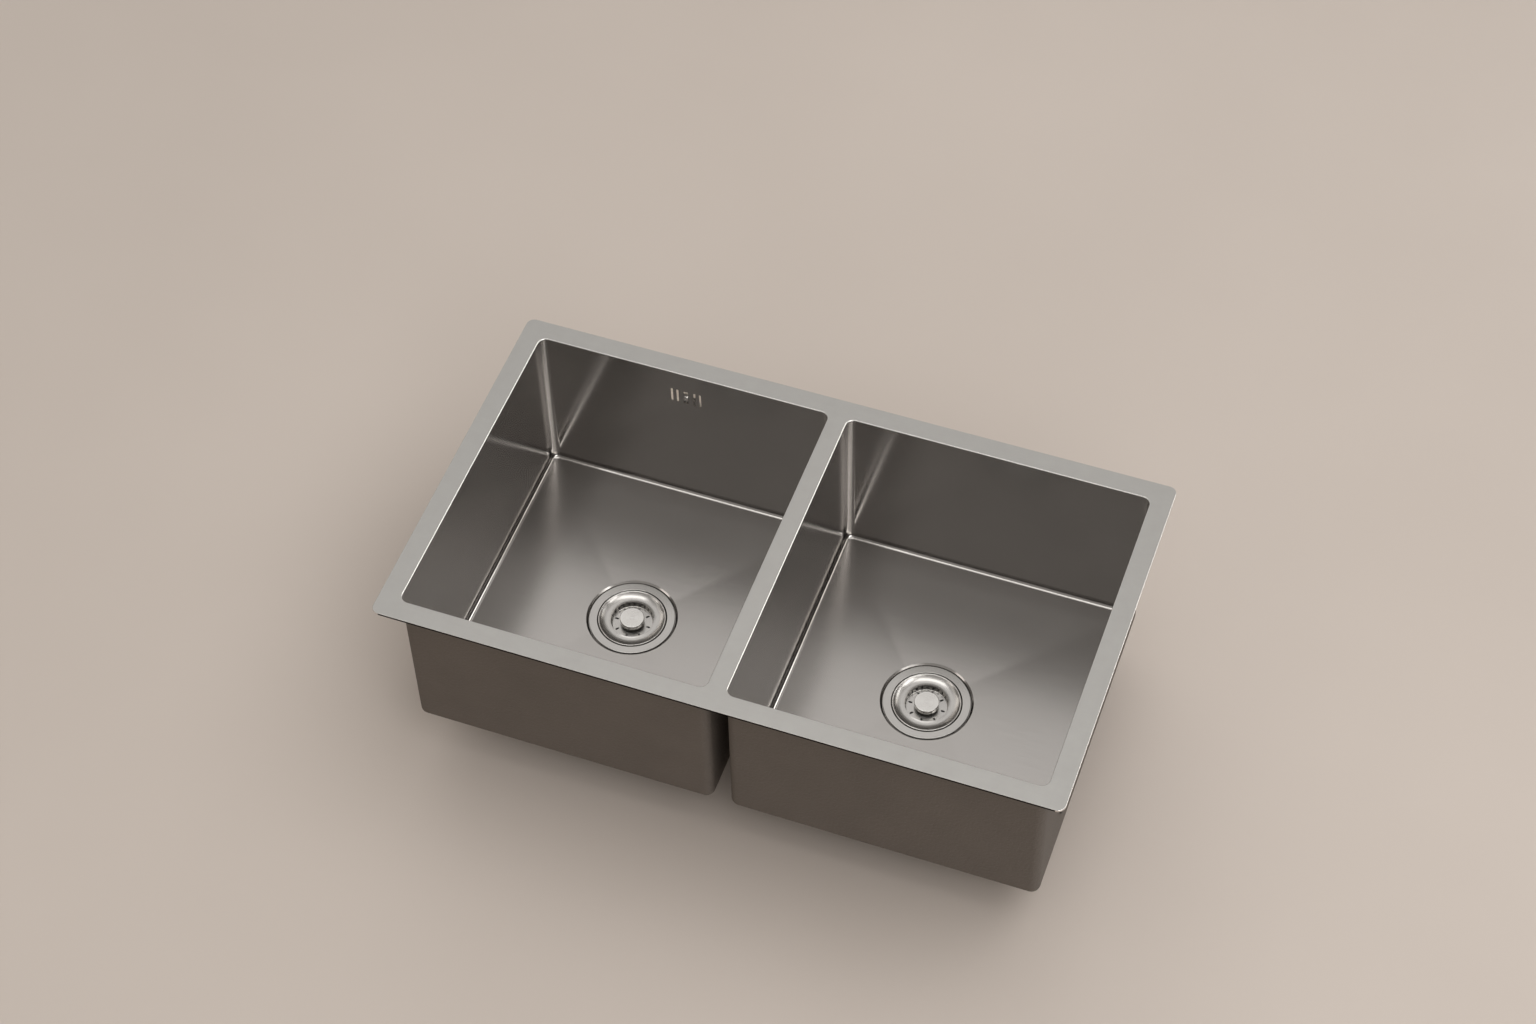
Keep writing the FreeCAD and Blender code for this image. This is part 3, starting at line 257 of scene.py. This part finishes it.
for name in ("left_bowl", "right_bowl"):
    brushed, tree, skin, spot = start_material(f"brushed_steel_and_undercoat_{name}")
    # a face is outside where it looks away from the middle of the bowl
    from_middle = add(tree, "VectorMath", {"operation": "SUBTRACT", 1: centre(name)},
                      {0: spot.outputs["Object"]})
    face = add(tree, "NewGeometry", {})
    true_normal = face.outputs["True Normal"]
    away = add(tree, "VectorMath", {"operation": "DOT_PRODUCT"}, {0: true_normal, 1: from_middle})
    outside = add(tree, "Math", {"operation": "GREATER_THAN", 1: 0.0}, {0: away.outputs["Value"]})
    # the floor's flat facets keep their own normals, so that the creases between them stay sharp
    rise = add(tree, "SeparateXYZ", {}, {0: true_normal})
    on_facet = add(tree, "Math", {"operation": "GREATER_THAN", 1: facet_rise}, {0: rise.outputs["Z"]})
    facing = add(tree, "Mix", {"data_type": "VECTOR"},
                 {0: on_facet, 4: face.outputs["Normal"], 5: true_normal}).outputs[1]
    parts = add(tree, "SeparateXYZ", {}, {0: facing})
    level = add(tree, "MapRange", {"interpolation_type": "SMOOTHSTEP", "From Min": 0.90, "From Max": 0.97},
                {"Value": parts.outputs["Z"]})
    # lines to the metre along each axis, on the walls and on the floor
    wall_lines = (1 / grain_long, 1 / grain_long, 1 / grain_wide)
    floor_lines = (1 / grain_long, 1 / grain_wide, 1 / grain_long)
    spacing = add(tree, "Mix", {"data_type": "VECTOR", 4: wall_lines, 5: floor_lines}, {0: level})
    stretch = add(tree, "VectorMath", {"operation": "MULTIPLY"},
                  {0: spot.outputs["Object"], 1: spacing.outputs[1]})
    grain = add(tree, "TexNoise", {"Scale": 1.0, "Detail": 1.0}, {"Vector": stretch})
    cloud = add(tree, "TexNoise", {"Scale": 14.0, "Detail": 3.0}, {"Vector": spot.outputs["Object"]})
    both = add(tree, "Mix", {0: 0.6}, {2: cloud, 3: grain})
    steel = tone(tree, both, "#a19e9b", "#aba8a5")
    coat = tone(tree, cloud, "#5c544c", "#675e56")
    colour = add(tree, "Mix", {"data_type": "RGBA"}, {0: outside, 6: steel, 7: coat})
    tree.links.new(colour.outputs[2], skin.inputs["Base Color"])
    wall_rough = amount(tree, both, 0.13, 0.16)
    floor_rough = amount(tree, both, 0.24, 0.27)
    steel_rough = add(tree, "Mix", {}, {0: level, 2: wall_rough, 3: floor_rough})
    rough = add(tree, "Mix", {3: coat_rough}, {0: outside, 2: steel_rough})
    tree.links.new(rough.outputs[0], skin.inputs["Roughness"])
    metal = add(tree, "Math", {"operation": "SUBTRACT", 0: 1.0}, {1: outside})
    tree.links.new(metal.outputs[0], skin.inputs["Metallic"])
    skin.inputs["Anisotropic"].default_value = 0.6
    across = add(tree, "Mix", {"data_type": "VECTOR", 4: (0.0, 0.0, 1.0), 5: (0.0, 1.0, 0.0)}, {0: level})
    tree.links.new(across.outputs[1], skin.inputs["Tangent"])
    spray = add(tree, "TexNoise", {"Scale": 330.0, "Detail": 3.0}, {"Vector": spot.outputs["Object"]})
    height = add(tree, "Math", {"operation": "MULTIPLY"}, {0: spray, 1: outside})
    bump = add(tree, "Bump", {"Strength": 0.5, "Distance": 0.0025}, {"Height": height, "Normal": facing})
    tree.links.new(bump.outputs[0], skin.inputs["Normal"])
    finish_nodes(brushed, name)

# ---- The strainers and baskets
# Turned stainless pressings: the flange, the basket's dish and the knob are brushed in circles
# while they spin, the dish most coarsely. The narrow gap round the basket is painted near black,
# a painted shade for the dark of the deep gap.
drains = [(side, centre(f"{side}_locknut")[0]) for side in ("left", "right")]
drain_y = centre("left_locknut")[1]
gap_inside = 0.0431
gap_outside = 0.0441
gap_top = -0.2344
# title, dark and light tone, least and greatest roughness, stretch of the reflections, piece
turned_finishes = (
    ("circle_brushed_steel", "#a5a3a0", "#b7b5b2", 0.15, 0.22, 0.80, "strainer_body"),
    ("spun_steel", "#aeaca9", "#c0bebb", 0.22, 0.28, 0.70, "basket_cup"),
    ("faced_steel", "#c2c0bd", "#d6d4d1", 0.16, 0.23, 0.85, "stopper_knob"),
)


def from_drain(tree, spot, drain_x):
    """A point as seen from a drain's upright axis: the level vector to it, the radius, and
    the node that has x, y and z apart."""
    arm = add(tree, "VectorMath", {"operation": "SUBTRACT", 1: (drain_x, drain_y, 0.0)},
              {0: spot.outputs["Object"]})
    flat = add(tree, "VectorMath", {"operation": "MULTIPLY", 1: (1.0, 1.0, 0.0)}, {0: arm})
    reach = add(tree, "VectorMath", {"operation": "LENGTH"}, {0: flat})
    return flat, reach.outputs["Value"], add(tree, "SeparateXYZ", {}, {0: arm})


for side, drain_x in drains:
    for title, dark, light, smooth, coarse, stretched, piece in turned_finishes:
        turned, tree, skin, spot = start_material(f"{title}_{side}")
        skin.inputs["Metallic"].default_value = 1.0
        skin.inputs["Anisotropic"].default_value = stretched
        flat, reach, axes = from_drain(tree, spot, drain_x)
        # rings about 0.9 mm apart, along the radius and the height
        ring_place = add(tree, "CombineXYZ", {}, {"X": reach, "Y": axes.outputs["Z"]})
        rings = add(tree, "TexNoise", {"Scale": 1100.0, "Detail": 2.0}, {"Vector": ring_place})
        # painted shade: a ring between the gap's radii, below the flange's top, is coloured near black
        beyond = add(tree, "Math", {"operation": "GREATER_THAN", 1: gap_inside}, {0: reach})
        within = add(tree, "Math", {"operation": "LESS_THAN", 1: gap_outside}, {0: reach})
        below = add(tree, "Math", {"operation": "LESS_THAN", 1: gap_top}, {0: axes.outputs["Z"]})
        ring = add(tree, "Math", {"operation": "MULTIPLY"}, {0: beyond, 1: within})
        in_painted_shade = add(tree, "Math", {"operation": "MULTIPLY"}, {0: ring, 1: below})
        painted_gap_shade = add(tree, "Mix", {"data_type": "RGBA", 7: linear("#2a2724")},
                      {0: in_painted_shade, 6: tone(tree, rings, dark, light)})
        tree.links.new(painted_gap_shade.outputs[2], skin.inputs["Base Color"])
        tree.links.new(amount(tree, rings, smooth, coarse), skin.inputs["Roughness"])
        round_way = add(tree, "VectorMath", {"operation": "CROSS_PRODUCT", 0: (0.0, 0.0, 1.0)}, {1: flat})
        across = add(tree, "VectorMath", {"operation": "CROSS_PRODUCT"},
                     {0: spot.outputs["Normal"], 1: round_way})
        unit = add(tree, "VectorMath", {"operation": "NORMALIZE"}, {0: across})
        tree.links.new(unit.outputs[0], skin.inputs["Tangent"])
        finish_nodes(turned, f"{side}_{piece}")

# ---- The stoppers' posts, the loose washers and nuts, and the overflow screw
# Small stainless turnings and stampings, tumbled until they are bright, which leaves them with
# short fine scratches in every direction.
scratch = 0.0009  # real tumbling marks are 0.2 mm, drawn wider so that they show
tumbled_pieces = [f"{side}_{piece}" for side, drain_x in drains
                  for piece in ("stopper_post", "seal_washer", "stopper_nut")]
tumbled_steel, tree, skin, spot = start_material("tumbled_stainless_steel")
skin.inputs["Metallic"].default_value = 1.0
marks = add(tree, "TexNoise", {"Scale": 1 / scratch, "Detail": 2.0, "Distortion": 1.5},
            {"Vector": spot.outputs["Object"]})
tree.links.new(tone(tree, marks, "#c6c3bf", "#dcdad7"), skin.inputs["Base Color"])
tree.links.new(amount(tree, marks, 0.14, 0.28), skin.inputs["Roughness"])
finish_nodes(tumbled_steel, "overflow_screw", *tumbled_pieces)

# ---- The rubber gaskets and seals
# Black EPDM rubber, moulded or stamped from sheet: dull, with a faint grey bloom in patches and
# a very fine grain.
rubber_pieces = [f"{side}_{piece}" for side, drain_x in drains
                 for piece in ("flange_gasket", "under_gasket", "housing_seal", "stopper_seal")]


def grained(title, dark, light, smooth, coarse, patch, grain, depth):
    """A moulded or pressed material that isn't metal. Its colour drifts between two tones over
    patches of one size, and a grain of another size lifts and roughens it. Sizes in metres."""
    material, tree, skin, spot = start_material(title)
    patches = add(tree, "TexNoise", {"Scale": 1 / patch, "Detail": 4.0}, {"Vector": spot.outputs["Object"]})
    fine = add(tree, "TexNoise", {"Scale": 1 / grain, "Detail": 2.0}, {"Vector": spot.outputs["Object"]})
    both = add(tree, "Mix", {0: 0.3}, {2: patches, 3: fine})
    tree.links.new(tone(tree, both, dark, light), skin.inputs["Base Color"])
    tree.links.new(amount(tree, fine, smooth, coarse), skin.inputs["Roughness"])
    bump = add(tree, "Bump", {"Strength": 0.6, "Distance": depth}, {"Height": fine})
    tree.links.new(bump.outputs[0], skin.inputs["Normal"])
    return material


seal_rubber = grained("moulded_epdm_rubber", "#1d1c1b", "#383634", 0.46, 0.66, 0.012, 0.0009, 0.0002)
finish_nodes(seal_rubber, "overflow_gasket", "top_hose_ring", "foot_hose_ring", *rubber_pieces)

# ---- The friction washers
# Pressed brown fibre card between the rubber and the locknut, so that the nut turns without
# dragging the rubber. Matt, with pale flecks of fibre.
fibre_card = grained("pressed_fibre_card", "#6f5338", "#a58862", 0.80, 0.92, 0.0035, 0.0006, 0.00015)
finish_nodes(fibre_card, "left_friction_washer", "right_friction_washer")

# ---- The locknuts and the union nuts
# Black ABS, moulded in a spark-eroded tool that leaves a fine even grain, with a soft sheen.
black_abs = grained("moulded_black_abs", "#222325", "#2f3032", 0.34, 0.50, 0.020, 0.0008, 0.00012)
finish_nodes(black_abs, "left_locknut", "right_locknut", "top_union_nut", "foot_union_nut")

# ---- The guide bushes
# White acetal, turned: smooth and a little waxy.
white_acetal = grained("turned_white_acetal", "#dedbd4", "#efede8", 0.24, 0.34, 0.006, 0.0007, 0.00004)
finish_nodes(white_acetal, "left_guide_bush", "right_guide_bush")

# ---- The overflow housing
# Moulded in natural polypropylene, which is milky and lets light through, so the housing glows
# softly behind the slots.
milky_plastic = grained("natural_polypropylene", "#f9f4ec", "#fffdf8", 0.22, 0.30, 0.016, 0.0012, 0.00006)
milky_plastic.node_tree.nodes["Principled BSDF"].inputs["Transmission Weight"].default_value = 0.93
finish_nodes(milky_plastic, "overflow_housing")

# ---- The drain housings
# White polypropylene funnels under the strainers. Round the foot of each runs the 1 1/2 in
# outlet thread, 11.5 turns to the inch, which the trap's nut screws on to.
thread_pitch = 0.0254 / 11.5
thread_top = -0.2870
thread_inside = 0.0225  # between the outlet's bore and its outside
thread_depth = 0.0006
for side, drain_x in drains:
    white_plastic = grained(f"white_polypropylene_{side}", "#d9d7d1", "#e9e7e2", 0.36, 0.46,
                            0.020, 0.0010, 0.0001)
    tree = white_plastic.node_tree
    skin = tree.nodes["Principled BSDF"]
    skin.inputs["Subsurface Weight"].default_value = 0.15
    skin.inputs["Subsurface Scale"].default_value = 0.004
    spot = add(tree, "TexCoord", {})
    flat, reach, axes = from_drain(tree, spot, drain_x)
    angle = add(tree, "Math", {"operation": "ARCTAN2"}, {0: axes.outputs["Y"], 1: axes.outputs["X"]})
    climb = add(tree, "Math", {"operation": "MULTIPLY", 1: 2 * math.pi / thread_pitch},
                {0: axes.outputs["Z"]})
    turns = add(tree, "Math", {"operation": "SUBTRACT"}, {0: climb, 1: angle})
    ridge = add(tree, "Math", {"operation": "SINE"}, {0: turns})
    beyond = add(tree, "Math", {"operation": "GREATER_THAN", 1: thread_inside}, {0: reach})
    below = add(tree, "Math", {"operation": "LESS_THAN", 1: thread_top}, {0: axes.outputs["Z"]})
    on_thread = add(tree, "Math", {"operation": "MULTIPLY"}, {0: beyond, 1: below})
    height = add(tree, "Math", {"operation": "MULTIPLY"}, {0: ridge, 1: on_thread})
    grain_bump = skin.inputs["Normal"].links[0].from_node
    thread = add(tree, "Bump", {"Strength": 1.0, "Distance": thread_depth},
                 {"Height": height, "Normal": grain_bump})
    tree.links.new(thread.outputs[0], skin.inputs["Normal"])
    finish_nodes(white_plastic, f"{side}_drain_housing")

# ---- The overflow hose
# Blow-moulded polyethylene in pale grey, ribbed so that it bends: a soft wax-like sheen, with
# the mould's faint cloudiness.
hose_plastic = grained("blown_polyethylene", "#a9aaa8", "#c3c4c1", 0.34, 0.44, 0.010, 0.0012, 0.0001)
finish_nodes(hose_plastic, "overflow_hose")

# ---- The sound pads
# Slabs of dense rubber, 3 mm thick, glued to the outside of each bowl, five to a bowl, so that
# falling water doesn't ring. They are cut with round corners and moulded with a soft edge and
# a leather grain.
pad_rubber = grained("leather_grained_rubber", "#3b3835", "#4d4945", 0.62, 0.80, 0.030, 0.0018, 0.0020)
pad_thick = 0.003
pad_corner = 0.008
pad_edge = 0.0012
corner_steps = 7  # points on each corner's arc
edge_steps = 6  # rings on the soft edge
flat_rings = 3  # rings of the underside and its rim
face_shrink = np.linspace(0.9, 0.0, 5)  # rings of the face, as shares of its outline
floor_fall = 0.0042
back_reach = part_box("left_bowl")[1][1]  # the bowls' outer face behind and in front
fall_half = 0.042  # half the square that the floor falls to


def sound_pad(title, middle, across, up, wide, high):
    """A slab. Each ring of the grid is the outline of a rectangle with round corners: the arc
    centres stay where they are while the ring's inset shortens the arcs' radius, and the faces
    shrink to their middle. The front edge is a quarter circle of inset and height."""
    quarter = np.linspace(0.0, math.pi / 2, corner_steps)
    angle = (np.arange(4)[:, None] * (math.pi / 2) + quarter).ravel()
    corner_x = np.repeat([1, -1, -1, 1], corner_steps) * (wide / 2 - pad_corner)
    corner_y = np.repeat([1, 1, -1, -1], corner_steps) * (high / 2 - pad_corner)
    bend = np.linspace(0.0, math.pi / 2, edge_steps)
    under = np.zeros(flat_rings)
    face = np.ones(len(face_shrink))
    inset = np.concatenate((under, pad_edge * (1 - np.cos(bend)), pad_edge * face))
    rise = np.concatenate((under, pad_thick - pad_edge * (1 - np.sin(bend)), pad_thick * face))
    shrink = np.concatenate((np.linspace(0.0, 1.0, flat_rings), np.ones(edge_steps), face_shrink))
    radius = (pad_corner - inset)[:, None]
    over = shrink[:, None] * (corner_x + radius * np.cos(angle))
    along = shrink[:, None] * (corner_y + radius * np.sin(angle))
    out = np.cross(across, up)
    grid = (np.asarray(middle) + over[..., None] * np.asarray(across) + along[..., None] * np.asarray(up)
            + (rise - pad_thick / 2)[:, None, None] * out)
    rings, steps = over.shape
    start = (np.arange(rings - 1)[:, None] * steps + np.arange(steps)).ravel()
    following = (np.arange(rings - 1)[:, None] * steps + (np.arange(steps) + 1) % steps).ravel()
    faces = np.stack((start, following, following + steps, start + steps), axis=1)
    mesh = bpy.data.meshes.new(title)
    mesh.from_pydata(grid.reshape(-1, 3).tolist(), [], faces.tolist())
    shell = bmesh.new()
    shell.from_mesh(mesh)
    bmesh.ops.remove_doubles(shell, verts=shell.verts, dist=1e-6)
    bmesh.ops.recalc_face_normals(shell, faces=shell.faces)
    shell.to_mesh(mesh)
    shell.free()
    mesh.shade_smooth()
    mesh.materials.append(pad_rubber)
    piece = bpy.data.objects.new(title, mesh)
    scene.collection.objects.link(piece)
    return piece


for side, drain_x in drains:
    outward = -1.0 if side == "left" else 1.0
    for spot_name in ("back_inner", "back_outer", "end", "floor_front", "floor_back"):
        low, high = (np.asarray(corner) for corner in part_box(f"{side}_{spot_name}_pad"))
        middle = (low + high) / 2
        size = high - low
        if spot_name.startswith("back"):
            axes = ((-1.0, 0.0, 0.0), (0.0, 0.0, 1.0))
            wide, tall = size[0], size[2]
        elif spot_name == "end":
            axes = ((0.0, outward, 0.0), (0.0, 0.0, 1.0))
            wide, tall = size[1], size[2]
        else:
            way = 1.0 if spot_name == "floor_back" else -1.0
            tilt = math.atan2(floor_fall, back_reach - fall_half - drain_y * way) * way
            axes = ((-1.0, 0.0, 0.0), (0.0, math.cos(tilt), math.sin(tilt)))
            wide = size[0]
            tall = (size[1] - pad_thick * abs(math.sin(tilt))) / math.cos(tilt)
        pad = sound_pad(f"{side}_{spot_name}_rubber_slab", middle, *axes, wide, tall)
        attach(pad, "root")
        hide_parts(f"{side}_{spot_name}_pad")
